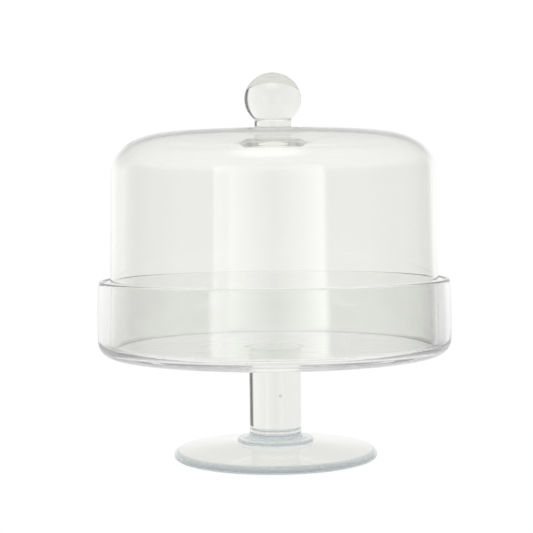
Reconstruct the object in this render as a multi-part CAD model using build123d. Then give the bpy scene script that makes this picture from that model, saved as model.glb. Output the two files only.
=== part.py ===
from build123d import *
from math import acos, atan2, degrees
import os

# Hand-made clear glass cake stand with a lift-off dome.
# Millimetres, +Z up. The origin is on the axis, in the plane that the foot stands on.
# Every piece is round about the Z axis. The pieces of the stand are fused together where
# they touch, and so are the pieces of the dome; the dome only rests on the dish floor.

# ---- driving dimensions ----
foot_radius = 81.0
foot_edge = 6.6              # height of the foot at its rim
foot_seat = 12.0             # height of the foot where the collar sits
collar_radius = 30.6
stem_radius = 20.6
dish_underside = 82.4
dish_floor = 89.5            # inside floor, where the cake and the dome stand
dish_rim = 142.2
dish_radius = 139.8          # widest, half way up the wall
dish_wall = 3.4
dome_gap = 0.3               # the dome's lip stands this far above the dish floor
dome_foot_radius = 130.6
dome_shoulder_radius = 128.2
dome_top = 257.8
dome_wall = 3.0
shoulder_width = 42.0
shoulder_height = 31.0
neck_radius = 14.5
knob_radius = 22.5
knob_half_height = 21.0
knob_side_radius = 19.0      # of the arc down the side of the ball
knob_centre = 284.5

# ---- smaller shapes ----
foot_lower_round = 2.4
foot_upper_round = foot_edge - foot_lower_round
collar_bead = 1.7            # radius of the collar's rounded edge
collar_fillet = 5.4
seal_fillet = 4.0
dish_corner = 13.0
dish_inner_corner = 6.0
rim_inset = 1.2              # the dish rim leans in by this much
dip_depth = 5.0              # the knob's hot glass pressed the dome's top down
dip_radius = 22.0
dip_mouth_radius = 31.0
pad_proud = 0.8
neck_foot = 263.0            # the knob's neck ends here, on its seal


def turned(*edges):
    """Turn a closed half outline, drawn as (radius, height), about the Z axis."""
    return revolve(Plane.XZ * make_face(edges), axis=Axis.Z)


def closed(*edges):
    """Close a run of edges that ends on the axis with a line down the axis."""
    return edges + (Line(edges[-1] @ 1, edges[0] @ 0),)


def foot():
    """A flat-bottomed disc with a rounded rim, rising in a low cone to the collar."""
    lower_centre = foot_radius - foot_lower_round
    upper_centre = foot_radius - foot_upper_round
    base = Line((0, 0), (lower_centre, 0))
    lower = CenterArc((lower_centre, foot_lower_round), foot_lower_round, -90, 90)
    upper = CenterArc((upper_centre, foot_lower_round), foot_upper_round, 0, 83)
    cone = Line(upper @ 1, (collar_radius, foot_seat))
    seat = Line(cone @ 1, (0, foot_seat))
    return turned(*closed(base, lower, upper, cone, seat))


def stem_base_collar():
    """The ring of glass that joins the stem to the foot: a rounded edge, then a fillet."""
    bead_centre = collar_radius - collar_bead
    top = foot_seat + 2 * collar_bead
    base = Line((0, foot_seat), (bead_centre, foot_seat))
    bead = CenterArc((bead_centre, foot_seat + collar_bead), collar_bead, -90, 180)
    step = Line(bead @ 1, (stem_radius + collar_fillet, top))
    fillet = CenterArc((stem_radius + collar_fillet, top + collar_fillet), collar_fillet, -90, -90)
    seat = Line(fillet @ 1, (0, top + collar_fillet))
    return turned(*closed(base, bead, step, fillet, seat))


def stem():
    """A solid round column."""
    low = foot_seat + 2 * collar_bead + collar_fillet
    high = dish_underside - seal_fillet
    base = Line((0, low), (stem_radius, low))
    side = Line(base @ 1, (stem_radius, high))
    seat = Line(side @ 1, (0, high))
    return turned(*closed(base, side, seat))


def stem_top_seal():
    """The flared end of the stem, where it is fused under the dish."""
    low = dish_underside - seal_fillet
    base = Line((0, low), (stem_radius, low))
    flare = CenterArc((stem_radius + seal_fillet, low), seal_fillet, 180, -90)
    seat = Line(flare @ 1, (0, dish_underside))
    return turned(*closed(base, flare, seat))


def dish():
    """A straight-sided dish with a thick floor, rounded corners and a fire-polished rim."""
    lip = dish_wall / 2
    rim_outer = dish_radius - rim_inset
    corner_centre = dish_radius - dish_corner
    inner_radius = dish_radius - dish_wall
    inner_centre = inner_radius - dish_inner_corner
    middle = (dish_underside + dish_corner + dish_rim) / 2
    base = Line((0, dish_underside), (corner_centre, dish_underside))
    corner = CenterArc((corner_centre, dish_underside + dish_corner), dish_corner, -90, 90)
    wall = ThreePointArc(corner @ 1, (dish_radius, middle), (rim_outer, dish_rim - lip))
    rim = ThreePointArc(wall @ 1, (rim_outer - lip, dish_rim), (rim_outer - dish_wall, dish_rim - lip))
    low = (inner_radius, dish_floor + dish_inner_corner)
    inner_wall = ThreePointArc(rim @ 1, (inner_radius, middle), low)
    inner_corner = CenterArc((inner_centre, low[1]), dish_inner_corner, 0, -90)
    floor = Line(inner_corner @ 1, (0, dish_floor))
    return turned(*closed(base, corner, wall, rim, inner_wall, inner_corner, floor))


def dip_curve(inset=0.0, drop=0.0):
    """The S-shaped side of the dip in the dome's top, from its floor up to its mouth."""
    low = dome_top - dip_depth - drop
    high = dome_top - drop
    middle = (dip_radius + dip_mouth_radius) / 2 - inset
    return Bezier(
        (dip_radius - inset, low), (middle, low), (middle, high), (dip_mouth_radius - inset, high)
    )


def shoulder_curve(inset=0.0):
    """The quarter ellipse from the dome's side to its flat top."""
    return EllipticalCenterArc(
        (dome_shoulder_radius - shoulder_width, dome_top - shoulder_height),
        shoulder_width - inset,
        shoulder_height - inset,
        start_angle=0,
        arc_size=90,
    )


def dome_shell():
    """A bell of even thickness with rounded shoulders and a shallow dip under the knob."""
    lip = dome_wall / 2
    low = dish_floor + dome_gap + lip
    outer_dip = dip_curve()
    outer_shoulder = shoulder_curve()
    inner_dip = dip_curve(lip, dome_wall)
    inner_shoulder = shoulder_curve(dome_wall)
    axis = Line((0, dome_top - dip_depth), (0, dome_top - dip_depth - dome_wall))
    outside = Line((dome_foot_radius, low), outer_shoulder @ 0)
    inside = Line((dome_foot_radius - dome_wall, low), inner_shoulder @ 0)
    edge = ThreePointArc(inside @ 0, (dome_foot_radius - lip, low - lip), outside @ 0)
    return turned(
        edge,
        outside,
        outer_shoulder,
        Line(outer_shoulder @ 1, outer_dip @ 1),
        outer_dip,
        Line(outer_dip @ 0, axis @ 0),
        axis,
        Line(axis @ 1, inner_dip @ 0),
        inner_dip,
        Line(inner_dip @ 1, inner_shoulder @ 1),
        inner_shoulder,
        inside,
    )


def knob_seal():
    """The pad of glass that fills the dip and flares up into the knob's neck."""
    pad_top = dome_top + pad_proud
    side = dip_curve()
    base = Line((0, dome_top - dip_depth), side @ 0)
    edge = CenterArc((dip_mouth_radius - pad_proud, dome_top), pad_proud, 0, 90)
    flare = Bezier(
        edge @ 1,
        ((dip_mouth_radius + neck_radius) / 2 - pad_proud, pad_top),
        (neck_radius, pad_top),
        (neck_radius, neck_foot),
    )
    seat = Line(flare @ 1, (0, neck_foot))
    return turned(*closed(base, side, edge, flare, seat))


def knob():
    """A slightly flattened solid ball on a short neck, all one gather of glass."""
    # The side is an arc of a smaller circle, and each cap an arc of a larger one that it
    # runs into smoothly. The lower cap stops where the neck cuts it, in a crease.
    side_offset = knob_radius - knob_side_radius
    flattening = knob_half_height - knob_side_radius
    cap_radius = (side_offset**2 + knob_half_height**2 - knob_side_radius**2) / (2 * flattening)
    cap_offset = cap_radius - knob_half_height
    join = degrees(atan2(cap_offset, side_offset))
    crease = degrees(acos(neck_radius / cap_radius))
    lower_cap = CenterArc((0, knob_centre + cap_offset), cap_radius, -crease, crease - join)
    side = CenterArc((side_offset, knob_centre), knob_side_radius, -join, 2 * join)
    upper_cap = CenterArc((0, knob_centre - cap_offset), cap_radius, join, 90 - join)
    base = Line((0, neck_foot), (neck_radius, neck_foot))
    neck = Line(base @ 1, lower_cap @ 0)
    return turned(*closed(base, neck, lower_cap, side, upper_cap))


pieces = {
    "foot": foot(),
    "stem_base_collar": stem_base_collar(),
    "stem": stem(),
    "stem_top_seal": stem_top_seal(),
    "dish": dish(),
    "dome_shell": dome_shell(),
    "knob_seal": knob_seal(),
    "knob": knob(),
}

os.makedirs("parts", exist_ok=True)
for name, piece in pieces.items():
    export_step(piece, os.path.join("parts", name + ".step"))
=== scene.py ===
"""The looks of a hand-made clear glass cake stand with a lift-off dome.

Each gather of glass is a turned mesh that stands for one CAD node. Where two gathers are fused,
their hidden faces are fully see-through, so light crosses from one into the next as it does in
one body of glass.
"""

import math

import bmesh
import bpy
from mathutils import Matrix, Vector, noise


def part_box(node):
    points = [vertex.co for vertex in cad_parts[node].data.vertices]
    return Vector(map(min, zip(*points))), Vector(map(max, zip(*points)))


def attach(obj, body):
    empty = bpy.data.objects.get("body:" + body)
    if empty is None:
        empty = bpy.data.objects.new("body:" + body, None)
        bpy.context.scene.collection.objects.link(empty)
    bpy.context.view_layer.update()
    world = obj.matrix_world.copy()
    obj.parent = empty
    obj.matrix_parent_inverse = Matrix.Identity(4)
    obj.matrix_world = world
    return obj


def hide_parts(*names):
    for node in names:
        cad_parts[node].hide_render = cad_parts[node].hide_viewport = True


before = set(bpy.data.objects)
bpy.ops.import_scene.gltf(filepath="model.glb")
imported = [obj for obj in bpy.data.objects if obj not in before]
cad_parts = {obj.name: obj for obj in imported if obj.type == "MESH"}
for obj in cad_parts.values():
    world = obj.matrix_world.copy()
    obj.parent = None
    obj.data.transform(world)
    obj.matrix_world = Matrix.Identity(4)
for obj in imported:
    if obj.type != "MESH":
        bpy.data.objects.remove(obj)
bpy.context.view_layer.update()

MM = 0.001
AROUND = 288                 # facets in a full turn
FINE = 1.2 * MM              # spacing of the points along most straight stretches
MIDDLE = 3.0 * MM            # along the long walls and flats of the dish and the dome
COARSE = 6.0 * MM            # across a flat face round the axis

# ---- sizes from the frame ----
foot_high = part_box("foot")[1]
collar_low, collar_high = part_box("stem_base_collar")
stem_low, stem_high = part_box("stem")
seal_low, seal_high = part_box("stem_top_seal")
dish_low, dish_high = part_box("dish")
dome_low, dome_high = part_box("dome_shell")
pad_low, pad_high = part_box("knob_seal")
knob_low, knob_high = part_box("knob")

# ---- the glass's own sizes ----
FOOT_EDGE = 6.6 * MM
FOOT_LOWER_ROUND = 2.4 * MM
COLLAR_BEAD = 1.7 * MM
COLLAR_FILLET = 5.4 * MM
DISH_CORNER = 13.0 * MM
DISH_INNER_CORNER = 6.0 * MM
DISH_WALL = 3.4 * MM
DISH_FLOOR_GAP = 0.3 * MM    # between the dish floor and the dome's lip
RIM_INSET = 1.2 * MM
DOME_WALL = 3.0 * MM
DOME_TAPER = 2.4 * MM
SHOULDER_WIDTH = 42.0 * MM
SHOULDER_HEIGHT = 31.0 * MM
DIP_RADIUS = 22.0 * MM
PAD_PROUD = 0.8 * MM
NECK_RADIUS = 14.5 * MM
KNOB_HALF_HEIGHT = 21.0 * MM
KNOB_SIDE_RADIUS = 19.0 * MM
KNOB_FILLET = 1.8 * MM       # how far out the neck softens into the knob
WAVER = 0.22 * MM            # how far a hand-made wall strays from true
STEADY_RADIUS = 25 * MM      # nearer the axis than this it strays less
STEADY_HEIGHT = 4 * MM       # and so it does lower than this
LIFT_FROM = 120 * MM         # above this height it strays upwards as well
LIFT_FULL = 150 * MM         # and from this height by as much as outwards
CREASE = math.radians(22)    # an edge sharper than this stays crisp
# EDGE runs get the rim glass, whose blue-grey is partly painted shade.
CLEAR, FUSED, GROUND, EDGE = range(4)    # the surfaces a run of an outline can have
SEED_PLACE = Vector((3.4, -8.0, 49.5)) * MM     # of the small bubble shut in the stem
SEED_RADII = Vector((1.0, 1.0, 1.6)) * MM
GLASS_IOR = 1.52
GROUND_IOR = 1.15            # low, so that the foot's base doesn't throw light back

# ---- the room, as levels of light by degrees from straight behind the object, + to the right ----
# What the glass mirrors.
MIRRORED = (
    (-180, 0.05), (-165, 0.35), (-155, 0.6), (-147, 1.0), (-138.5, 1.3), (-137.5, 0.12), (-95, 0.15),
    (-70, 0.38), (-50, 0.88), (-35, 1.0), (31, 1.0), (44, 0.45), (60, 0.20), (90, 0.12),
    (144.5, 0.12), (147.5, 1.0), (160, 0.6), (170, 0.3), (180, 0.05),
)

# What shows through the first skins of the glass. Past those, everything is white.
THROUGH = (
    (-180, 1.0), (-98, 1.0), (-95, 0.35), (-84, 0.35), (-76, 1.2), (-30, 1.04), (0, 1.0),
    (25, 1.05), (46, 1.15), (56, 0.03), (84, 0.03), (90, 1.0), (180, 1.0),
)
FIRST_SKINS = 2

# What lies above and below the walls: from and to this steepness (sine of the angle from level,
# up or down) the light fades by this share to this level. Where a level changes from front to
# back, it has a row of its own: from and to this far back (Y of the direction), one level to
# another. The ceiling is brighter at the back, and the table in front.
CEILING = (0.04, 0.36, 1.0)
CEILING_BACK = (0.0, 0.75, 0.24, 0.60)
TABLE = (0.0, 0.10, 0.10)
TABLE_BACK = (-0.3, 0.3, 2.4, 0.1)
TABLE_BELOW = (0.25, 0.55, 1.0, 1.0)

# A round soft light over the front of the table.
OVERHEAD = Vector((-0.05, -0.50, 0.865))
OVERHEAD_EDGE = (0.90, 1.0)              # cosine of the angle off its middle, outside and inside
OVERHEAD_LEVEL = 1.6

# The white table: nearly all its white is its own glow, so it shows next to no shadow.
FLOOR_SHADE = 0.08
FLOOR_GLOW = 0.95
BOUNCES = 128                # light runs far round the thick corner of the dish

# ---- the camera ----
EYE = Vector((-0.006, -1.110, 0.2008))
TILT = math.radians(90 - 2.52)           # a little down from level
ROLL = math.radians(-0.55)
LENS = 94.3
SENSOR = 36.0


# ---- outlines: lists of (radius, height) ----
def line(start, end, step=FINE):
    """A straight stretch."""
    count = max(1, round(math.dist(start, end) / step))
    return [
        (start[0] + (end[0] - start[0]) * i / count, start[1] + (end[1] - start[1]) * i / count)
        for i in range(count + 1)
    ]


def arc(centre, radii, start, end, steps=16):
    """A stretch of a circle or ellipse, from start to end in degrees."""
    points = []
    for i in range(steps + 1):
        angle = math.radians(start + (end - start) * i / steps)
        r = centre[0] + radii[0] * math.cos(angle)
        z = centre[1] + radii[1] * math.sin(angle)
        points.append((r, z))
    return points


def bezier(p0, p1, p2, p3, steps=14):
    """A cubic curve."""
    points = []
    for i in range(steps + 1):
        t = i / steps
        weights = ((1 - t) ** 3, 3 * t * (1 - t) ** 2, 3 * t * t * (1 - t), t**3)
        r = sum(w * p[0] for w, p in zip(weights, (p0, p1, p2, p3)))
        z = sum(w * p[1] for w, p in zip(weights, (p0, p1, p2, p3)))
        points.append((r, z))
    return points


def bow(start, middle, end, steps=24):
    """A gentle curve through three points."""
    control = [2 * m - (s + e) / 2 for s, m, e in zip(start, middle, end)]
    points = []
    for i in range(steps + 1):
        t = i / steps
        r, z = (
            (1 - t) ** 2 * s + 2 * t * (1 - t) * c + t * t * e for s, c, e in zip(start, control, end)
        )
        points.append((r, z))
    return points


def waver(angle, r, z):
    """How far the glass strays from true at this place: (outwards, upwards). Both skins of a
    wall stray together, as a blown wall keeps its thickness."""
    turn = Vector((math.cos(angle), math.sin(angle), 0.0))
    off_axis = min(1.0, r / STEADY_RADIUS)
    off_table = min(1.0, z / STEADY_HEIGHT)
    high = min(1.0, max(0.0, (z - LIFT_FROM) / (LIFT_FULL - LIFT_FROM)))
    slow = noise.noise(turn * 1.1 + Vector((0, 0, z * 6)))
    quick = noise.noise(turn * 3.4 + Vector((5, 0, z * 12)))
    lift = noise.noise(turn * 1.3 + Vector((0, 9, z * 6)))
    out = WAVER * off_axis * off_table * (slow + 0.3 * quick)
    return out, WAVER * high * off_axis * lift


def turned(name, runs, coats=None):
    """Turn an outline about the axis. The runs follow each other, upwards along the outside.
    coats gives the surface of a run, by its place in the list, where it isn't CLEAR."""
    points = [runs[0][0]]
    surfaces = []
    for index, run in enumerate(runs):
        points += run[1:]
        surfaces += [(coats or {}).get(index, CLEAR)] * (len(run) - 1)
    closed = math.dist(points[0], points[-1]) < 1e-9
    if closed:
        points.pop()

    vertices = []
    rings = []
    for r, z in points:
        if r < 1e-9:
            rings.append([len(vertices)] * AROUND)
            vertices.append((0.0, 0.0, z))
            continue
        rings.append(list(range(len(vertices), len(vertices) + AROUND)))
        for i in range(AROUND):
            angle = math.tau * i / AROUND
            out, up = waver(angle, r, z)
            vertices.append(((r + out) * math.cos(angle), (r + out) * math.sin(angle), z + up))

    faces = []
    slots = []
    following = rings[1:] + ([rings[0]] if closed else [])
    for low, high, surface in zip(rings, following, surfaces):
        for i in range(AROUND):
            j = (i + 1) % AROUND
            corners = list(dict.fromkeys((low[i], low[j], high[j], high[i])))
            if len(corners) > 2:
                faces.append(corners)
                slots.append(surface)
    mesh = bpy.data.meshes.new(name)
    mesh.from_pydata(vertices, [], faces)
    mesh.polygons.foreach_set("material_index", slots)
    mesh.polygons.foreach_set("use_smooth", [True] * len(faces))
    mesh.set_sharp_from_angle(angle=CREASE)
    mesh.update()
    piece = bpy.data.objects.new(name, mesh)
    bpy.context.collection.objects.link(piece)
    return piece


def seed(piece, place, radii):
    """A small bubble of air shut in the glass: a closed skin that faces inwards."""
    mesh = bmesh.new()
    mesh.from_mesh(piece.data)
    shape = Matrix.Translation(place) @ Matrix.Diagonal((*radii, 1.0))
    bubble = bmesh.ops.create_uvsphere(mesh, u_segments=24, v_segments=16, radius=1.0, matrix=shape)
    faces = list({face for vertex in bubble["verts"] for face in vertex.link_faces})
    bmesh.ops.reverse_faces(mesh, faces=faces)
    for face in faces:
        face.smooth = True
    mesh.to_mesh(piece.data)
    mesh.free()


# ---- glass ----
def clear_glass(name, tint, streak, streak_size):
    """Clear soda-lime glass: a faint uneven tint, and the shallow vertical streaks and slow
    waves that hand working leaves in its surface."""
    material = bpy.data.materials.new(name)
    material.use_nodes = True
    tree = material.node_tree
    shader = tree.nodes["Principled BSDF"]
    shader.inputs["Transmission Weight"].default_value = 1.0
    shader.inputs["IOR"].default_value = GLASS_IOR
    shader.inputs["Roughness"].default_value = 0.0

    place = tree.nodes.new("ShaderNodeTexCoord")
    cloud = tree.nodes.new("ShaderNodeTexNoise")
    cloud.inputs["Scale"].default_value = 9.0
    cloud.inputs["Detail"].default_value = 1.0
    shade = tree.nodes.new("ShaderNodeMix")
    shade.data_type = "RGBA"
    shade.inputs["A"].default_value = (*[c * 0.994 for c in tint], 1.0)
    shade.inputs["B"].default_value = (*[min(1.0, c * 1.006) for c in tint], 1.0)
    tree.links.new(place.outputs["Object"], cloud.inputs["Vector"])
    tree.links.new(cloud.outputs["Fac"], shade.inputs["Factor"])
    tree.links.new(shade.outputs["Result"], shader.inputs["Base Color"])

    stretch = tree.nodes.new("ShaderNodeMapping")
    stretch.inputs["Scale"].default_value = (1.0, 1.0, 0.06)
    ream = tree.nodes.new("ShaderNodeTexNoise")
    ream.inputs["Scale"].default_value = streak_size
    ream.inputs["Detail"].default_value = 2.0
    wave = tree.nodes.new("ShaderNodeTexNoise")
    wave.inputs["Scale"].default_value = 16.0
    wave.inputs["Detail"].default_value = 0.0
    both = tree.nodes.new("ShaderNodeMath")
    both.operation = "ADD"
    bump = tree.nodes.new("ShaderNodeBump")
    bump.inputs["Strength"].default_value = streak
    bump.inputs["Distance"].default_value = 0.15 * MM
    tree.links.new(place.outputs["Object"], stretch.inputs["Vector"])
    tree.links.new(stretch.outputs["Vector"], ream.inputs["Vector"])
    tree.links.new(place.outputs["Object"], wave.inputs["Vector"])
    tree.links.new(ream.outputs["Fac"], both.inputs[0])
    tree.links.new(wave.outputs["Fac"], both.inputs[1])
    tree.links.new(both.outputs["Value"], bump.inputs["Height"])
    tree.links.new(bump.outputs["Normal"], shader.inputs["Normal"])
    return material


def fused_join():
    """The place inside the glass where two gathers are one: nothing shows."""
    material = bpy.data.materials.new("fused_join")
    material.use_nodes = True
    shader = material.node_tree.nodes["Principled BSDF"]
    shader.inputs["Alpha"].default_value = 0.0
    return material


def plain_glass(name, tint, ior, roughness):
    """Glass with one even tint: the ground base of the foot, or the thick rounded edges of the
    foot and the collar. The edges' blue-grey is partly the tint of thick glass and partly
    painted shade for the dim room that they mirror."""
    material = bpy.data.materials.new(name)
    material.use_nodes = True
    shader = material.node_tree.nodes["Principled BSDF"]
    shader.inputs["Base Color"].default_value = (*tint, 1.0)
    shader.inputs["Transmission Weight"].default_value = 1.0
    shader.inputs["IOR"].default_value = ior
    shader.inputs["Roughness"].default_value = roughness
    return material


dome_glass = clear_glass("dome_glass", (0.976, 0.980, 0.960), 0.30, 60.0)
dish_glass = clear_glass("dish_glass", (0.990, 0.993, 0.986), 0.35, 50.0)
knob_glass = clear_glass("knob_glass", (0.850, 0.857, 0.825), 0.25, 70.0)
stem_glass = clear_glass("stem_glass", (0.845, 0.853, 0.818), 0.25, 70.0)
foot_glass = clear_glass("foot_glass", (0.990, 0.992, 0.965), 0.30, 40.0)
join = fused_join()
base = plain_glass("ground_base", (0.78, 0.79, 0.74), GROUND_IOR, 0.5)
# The rims' blue-grey: partly the tint of thick glass, partly painted shade for the dim room they
# mirror.
edge = plain_glass("edge_glass_with_painted_shade", (0.60, 0.67, 0.72), GLASS_IOR, 0.02)


def dress(piece, node, body, glass):
    """Dress a piece, hide the CAD node that it stands for, and hang it on the body it rides on."""
    for material in (glass, join, base, edge):
        piece.data.materials.append(material)
    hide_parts(node)
    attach(piece, body)


# ---- the stand ----
def make_foot():
    """A low cone with a rounded rim and a ground underside."""
    upper = FOOT_EDGE - FOOT_LOWER_ROUND
    radius = foot_high[0]
    seat = foot_high[2]
    bead_centre = collar_high[0] - COLLAR_BEAD
    lower_centre = radius - FOOT_LOWER_ROUND
    upper_centre = radius - upper
    shoulder = arc((upper_centre, FOOT_LOWER_ROUND), (upper, upper), 0, 83, steps=20)
    runs = [
        line((0, 0), (lower_centre, 0), step=COARSE),
        arc((lower_centre, FOOT_LOWER_ROUND), (FOOT_LOWER_ROUND, FOOT_LOWER_ROUND), -90, 0),
        shoulder,
        line(shoulder[-1], (collar_high[0], seat)),
        line((collar_high[0], seat), (bead_centre, seat)),
        line((bead_centre, seat), (0, seat), step=COARSE),
    ]
    piece = turned("glass_foot", runs, {0: GROUND, 1: EDGE, 2: EDGE, 5: FUSED})
    dress(piece, "foot", "stand", foot_glass)


def make_collar():
    """A rounded bead on the foot, and a hollow curve up to the stem."""
    low = collar_low[2]
    high = collar_high[2]
    bead_centre = collar_high[0] - COLLAR_BEAD
    step = low + 2 * COLLAR_BEAD
    stem_radius = stem_high[0]
    runs = [
        line((0, low), (bead_centre, low), step=COARSE),
        arc((bead_centre, low + COLLAR_BEAD), (COLLAR_BEAD, COLLAR_BEAD), -90, 90),
        line((bead_centre, step), (stem_radius + COLLAR_FILLET, step)),
        arc((stem_radius + COLLAR_FILLET, high), (COLLAR_FILLET, COLLAR_FILLET), -90, -180),
        line((stem_radius, high), (0, high), step=COARSE),
    ]
    piece = turned("glass_stem_collar", runs, {0: FUSED, 1: EDGE, 3: EDGE, 4: FUSED})
    dress(piece, "stem_base_collar", "stand", stem_glass)


def make_stem():
    """The solid column, with one small bubble in it."""
    radius = stem_high[0]
    low = stem_low[2]
    high = stem_high[2]
    runs = [
        line((0, low), (radius, low), step=COARSE),
        line((radius, low), (radius, high)),
        line((radius, high), (0, high), step=COARSE),
    ]
    piece = turned("glass_stem", runs, {0: FUSED, 2: FUSED})
    seed(piece, SEED_PLACE, SEED_RADII)
    dress(piece, "stem", "stand", stem_glass)


def make_stem_seal():
    """The short flare from the stem to the underside of the dish."""
    low = seal_low[2]
    high = seal_high[2]
    radius = stem_high[0]
    fillet = seal_high[0] - radius
    runs = [
        line((0, low), (radius, low), step=COARSE),
        arc((radius + fillet, low), (fillet, high - low), 180, 90),
        line((seal_high[0], high), (0, high), step=COARSE),
    ]
    piece = turned("glass_stem_seal", runs, {0: FUSED, 2: FUSED})
    dress(piece, "stem_top_seal", "stand", stem_glass)


def make_dish():
    """A thick floor and a thin, slightly bowed wall, with a round corner between them."""
    radius = dish_high[0]
    low = dish_low[2]
    high = dish_high[2]
    floor = dome_low[2] - DISH_FLOOR_GAP
    lip = DISH_WALL / 2
    rim = radius - RIM_INSET
    middle = (low + DISH_CORNER + high) / 2
    inner = radius - DISH_WALL
    corner = inner - DISH_INNER_CORNER
    runs = [
        line((0, low), (seal_high[0], low), step=COARSE),
        line((seal_high[0], low), (radius - DISH_CORNER, low), step=MIDDLE),
        arc((radius - DISH_CORNER, low + DISH_CORNER), (DISH_CORNER, DISH_CORNER), -90, 0, steps=28),
        bow((radius, low + DISH_CORNER), (radius, middle), (rim, high - lip)),
        arc((rim - lip, high - lip), (lip, lip), 0, 180),
        bow((rim - DISH_WALL, high - lip), (inner, middle), (inner, floor + DISH_INNER_CORNER)),
        arc((corner, floor + DISH_INNER_CORNER), (DISH_INNER_CORNER, DISH_INNER_CORNER), 0, -90),
        line((corner, floor), (0, floor), step=MIDDLE),
    ]
    dress(turned("glass_dish", runs, {0: FUSED}), "dish", "stand", dish_glass)


# ---- the dome ----
def dip(inset=0.0, drop=0.0):
    """The side of the dip in the dome's top, from its floor up to its mouth."""
    high = pad_high[0]
    top = dome_high[2] - drop
    bottom = pad_low[2] - drop
    middle = (DIP_RADIUS + high) / 2 - inset
    start = (DIP_RADIUS - inset, bottom)
    end = (high - inset, top)
    return bezier(start, (middle, bottom), (middle, top), end)


def make_dome():
    """The bell: its lip, side, shoulder, flat top and the dip under the knob, then its inside."""
    lip = DOME_WALL / 2
    foot = dome_high[0]
    low = dome_low[2] + lip
    top = dome_high[2]
    spring = top - SHOULDER_HEIGHT
    shoulder = foot - DOME_TAPER
    centre = shoulder - SHOULDER_WIDTH
    outer_radii = (SHOULDER_WIDTH, SHOULDER_HEIGHT)
    inner_radii = (SHOULDER_WIDTH - DOME_WALL, SHOULDER_HEIGHT - DOME_WALL)
    outer_dip = dip()
    inner_dip = dip(lip, DOME_WALL)
    dip_floor = pad_low[2]
    runs = [
        arc((foot - lip, low), (lip, lip), -180, 0),
        line((foot, low), (shoulder, spring), step=MIDDLE),
        arc((centre, spring), outer_radii, 0, 90, steps=40),
        line((centre, top), (pad_high[0], top), step=MIDDLE),
        outer_dip[::-1],
        line(outer_dip[0], (0, dip_floor), step=COARSE),
        line((0, dip_floor), (0, dip_floor - DOME_WALL), step=DOME_WALL),
        line((0, dip_floor - DOME_WALL), inner_dip[0], step=MIDDLE),
        inner_dip,
        line(inner_dip[-1], (centre, top - DOME_WALL), step=MIDDLE),
        arc((centre, spring), inner_radii, 90, 0, steps=40),
        line((shoulder - DOME_WALL, spring), (foot - DOME_WALL, low), step=MIDDLE),
    ]
    piece = turned("glass_dome", runs, {4: FUSED, 5: FUSED})
    dress(piece, "dome_shell", "dome", dome_glass)


def make_knob_seal():
    """The pad that fills the dip, and its sweep up to the neck."""
    mouth = pad_high[0]
    top = dome_high[2]
    neck_foot = pad_high[2]
    side = dip()
    edge = arc((mouth - PAD_PROUD, top), (PAD_PROUD, PAD_PROUD), 0, 90, steps=8)
    sweep = ((mouth + NECK_RADIUS) / 2 - PAD_PROUD, top + PAD_PROUD)
    hold = (NECK_RADIUS, top + PAD_PROUD)
    runs = [
        line((0, pad_low[2]), side[0], step=COARSE),
        side,
        edge,
        bezier(edge[-1], sweep, hold, (NECK_RADIUS, neck_foot), steps=28),
        line((NECK_RADIUS, neck_foot), (0, neck_foot), step=COARSE),
    ]
    piece = turned("glass_knob_seal", runs, {0: FUSED, 1: FUSED, 4: FUSED})
    dress(piece, "knob_seal", "dome", knob_glass)


def make_knob():
    """The neck and the ball. The ball is two flatter caps and a side that meet smoothly."""
    low = knob_low[2]
    radius = knob_high[0]
    centre = knob_high[2] - KNOB_HALF_HEIGHT
    side_offset = radius - KNOB_SIDE_RADIUS
    flattening = KNOB_HALF_HEIGHT - KNOB_SIDE_RADIUS
    cap = (side_offset**2 + KNOB_HALF_HEIGHT**2 - KNOB_SIDE_RADIUS**2) / (2 * flattening)
    cap_offset = cap - KNOB_HALF_HEIGHT
    join_angle = math.degrees(math.atan2(cap_offset, side_offset))
    crease = centre + cap_offset - math.sqrt(cap**2 - NECK_RADIUS**2)
    fillet_end = math.degrees(math.acos((NECK_RADIUS + KNOB_FILLET) / cap))
    side_radii = (KNOB_SIDE_RADIUS, KNOB_SIDE_RADIUS)
    lower_cap = arc((0, centre + cap_offset), (cap, cap), -fillet_end, -join_angle, steps=14)
    runs = [
        line((0, low), (NECK_RADIUS, low), step=COARSE),
        bezier((NECK_RADIUS, low), (NECK_RADIUS, crease), (NECK_RADIUS, crease), lower_cap[0]),
        lower_cap,
        arc((side_offset, centre), side_radii, -join_angle, join_angle, steps=40),
        arc((0, centre - cap_offset), (cap, cap), join_angle, 90, steps=40),
    ]
    piece = turned("glass_knob", runs, {0: FUSED})
    dress(piece, "knob", "dome", knob_glass)


# ---- studio ----
def ramp(tree, source, stops):
    """A colour ramp over the way round, from (degrees from straight behind the object, level)."""
    node = tree.nodes.new("ShaderNodeValToRGB")
    elements = node.color_ramp.elements
    while len(elements) > 1:
        elements.remove(elements[-1])
    for index, (degrees, level) in enumerate(stops):
        place = degrees / 360 + 0.5
        stop = elements[0] if index == 0 else elements.new(place)
        stop.position = place
        stop.color = (level, level, level, 1.0)
    tree.links.new(source, node.inputs["Fac"])
    return node.outputs["Color"]


def maths(tree, operation, first, second):
    """The result of one operation on two sockets or numbers."""
    node = tree.nodes.new("ShaderNodeMath")
    node.operation = operation
    for socket, value in zip(node.inputs, (first, second)):
        if isinstance(value, (int, float)):
            socket.default_value = value
        else:
            tree.links.new(value, socket)
    return node.outputs["Value"]


def map_range(tree, source, start, end, low, high):
    """A soft step from a low to a high value, as the source goes from start to end."""
    node = tree.nodes.new("ShaderNodeMapRange")
    node.interpolation_type = "SMOOTHSTEP"
    for name, value in zip(("From Min", "From Max", "To Min", "To Max"), (start, end, low, high)):
        node.inputs[name].default_value = value
    tree.links.new(source, node.inputs["Value"])
    return node.outputs["Result"]


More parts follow.
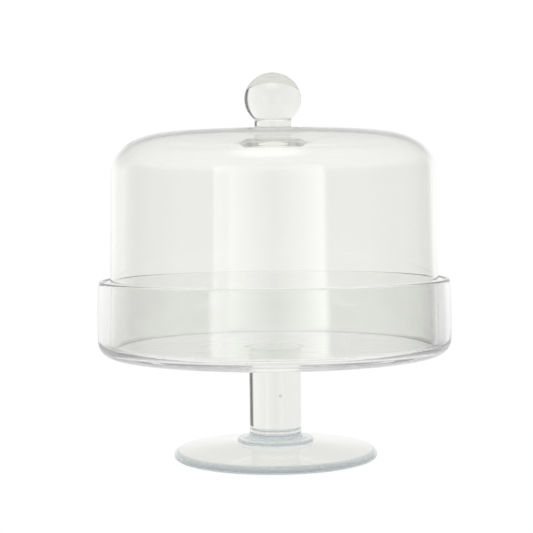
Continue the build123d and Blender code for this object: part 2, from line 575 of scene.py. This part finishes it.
def fade(tree, light, height, start, end, share, level):
    """Fade by a share from the light to a level, as the height goes from start to end."""
    amount = map_range(tree, height, start, end, 0.0, share)
    kept = maths(tree, "MULTIPLY", light, maths(tree, "SUBTRACT", 1.0, amount))
    return maths(tree, "ADD", kept, maths(tree, "MULTIPLY", amount, level))


def studio():
    """A white sweep behind, a dim room at the sides, two soft panels in front and a light
    overhead. Only the glass sees them: the camera and the table see plain white."""
    world = bpy.data.worlds.new("studio")
    bpy.context.scene.world = world
    world.use_nodes = True
    tree = world.node_tree
    background = tree.nodes["Background"]
    where = tree.nodes.new("ShaderNodeTexCoord")
    split = tree.nodes.new("ShaderNodeSeparateXYZ")
    ray = tree.nodes.new("ShaderNodeLightPath")
    tree.links.new(where.outputs["Generated"], split.inputs["Vector"])
    turn = maths(tree, "ARCTAN2", split.outputs["X"], split.outputs["Y"])
    way = maths(tree, "ADD", maths(tree, "DIVIDE", turn, math.tau), 0.5)

    up = split.outputs["Z"]
    down = maths(tree, "MULTIPLY", up, -1.0)
    off_middle = tree.nodes.new("ShaderNodeVectorMath")
    off_middle.operation = "DOT_PRODUCT"
    off_middle.inputs[1].default_value = OVERHEAD.normalized()
    tree.links.new(where.outputs["Generated"], off_middle.inputs[0])

    ceiling = map_range(tree, split.outputs["Y"], *CEILING_BACK)
    mirrored = fade(tree, ramp(tree, way, MIRRORED), up, *CEILING, ceiling)
    table = map_range(tree, split.outputs["Y"], *TABLE_BACK)
    mirrored = fade(tree, mirrored, down, *TABLE, table)
    mirrored = fade(tree, mirrored, down, *TABLE_BELOW)
    mirrored = fade(tree, mirrored, off_middle.outputs["Value"], *OVERHEAD_EDGE, 1.0, OVERHEAD_LEVEL)
    through = fade(tree, ramp(tree, way, THROUGH), down, *TABLE_BELOW)
    further = maths(tree, "GREATER_THAN", ray.outputs["Transmission Depth"], FIRST_SKINS + 0.5)
    through = maths(tree, "MAXIMUM", through, further)
    reflects = maths(tree, "GREATER_THAN", ray.outputs["Glossy Depth"], 0.5)
    seen = tree.nodes.new("ShaderNodeMix")
    seen.data_type = "RGBA"
    tree.links.new(reflects, seen.inputs["Factor"])
    tree.links.new(through, seen.inputs["A"])
    tree.links.new(mirrored, seen.inputs["B"])

    plain = tree.nodes.new("ShaderNodeMix")
    plain.data_type = "RGBA"
    plain.inputs["B"].default_value = (1.0, 1.0, 1.0, 1.0)
    direct = maths(tree, "MAXIMUM", ray.outputs["Is Camera Ray"], ray.outputs["Is Diffuse Ray"])
    tree.links.new(direct, plain.inputs["Factor"])
    tree.links.new(seen.outputs["Result"], plain.inputs["A"])
    tree.links.new(plain.outputs["Result"], background.inputs["Color"])


def make_floor(name, radius, drop, seen_by_glass):
    """A round of white table, seen either by the camera or by the glass."""
    bpy.ops.mesh.primitive_circle_add(vertices=128, radius=radius, fill_type="NGON")
    floor = bpy.context.object
    floor.name = name
    floor.location.z = -drop
    floor.visible_camera = not seen_by_glass
    floor.visible_diffuse = not seen_by_glass
    floor.visible_glossy = seen_by_glass
    floor.visible_transmission = seen_by_glass
    material = bpy.data.materials.new(name)
    material.use_nodes = True
    shader = material.node_tree.nodes["Principled BSDF"]
    shader.inputs["Base Color"].default_value = (FLOOR_SHADE, FLOOR_SHADE, FLOOR_SHADE, 1.0)
    shader.inputs["Roughness"].default_value = 1.0
    shader.inputs["Specular IOR Level"].default_value = 0.0
    shader.inputs["Emission Color"].default_value = (1.0, 1.0, 1.0, 1.0)
    shader.inputs["Emission Strength"].default_value = FLOOR_GLOW
    floor.data.materials.append(material)


def make_camera():
    """The photograph's view: nearly level, from a little over a metre away."""
    camera = bpy.data.objects.new("camera", bpy.data.cameras.new("camera"))
    camera.data.lens = LENS
    camera.data.sensor_width = SENSOR
    bpy.context.collection.objects.link(camera)
    tilt = Matrix.Rotation(TILT, 4, "X")
    roll = Matrix.Rotation(ROLL, 4, "Z")
    camera.matrix_world = Matrix.Translation(EYE) @ tilt @ roll
    bpy.context.scene.camera = camera


make_foot()
make_collar()
make_stem()
make_stem_seal()
make_dish()
make_dome()
make_knob_seal()
make_knob()
studio()
make_floor("table", 0.8, 0.3 * MM, seen_by_glass=False)
make_floor("table_near_the_foot", 0.15, 0.2 * MM, seen_by_glass=True)
make_camera()
scene = bpy.context.scene
scene.view_settings.view_transform = "Standard"
for limit in ("max_bounces", "transmission_bounces", "glossy_bounces", "transparent_max_bounces"):
    setattr(scene.cycles, limit, BOUNCES)
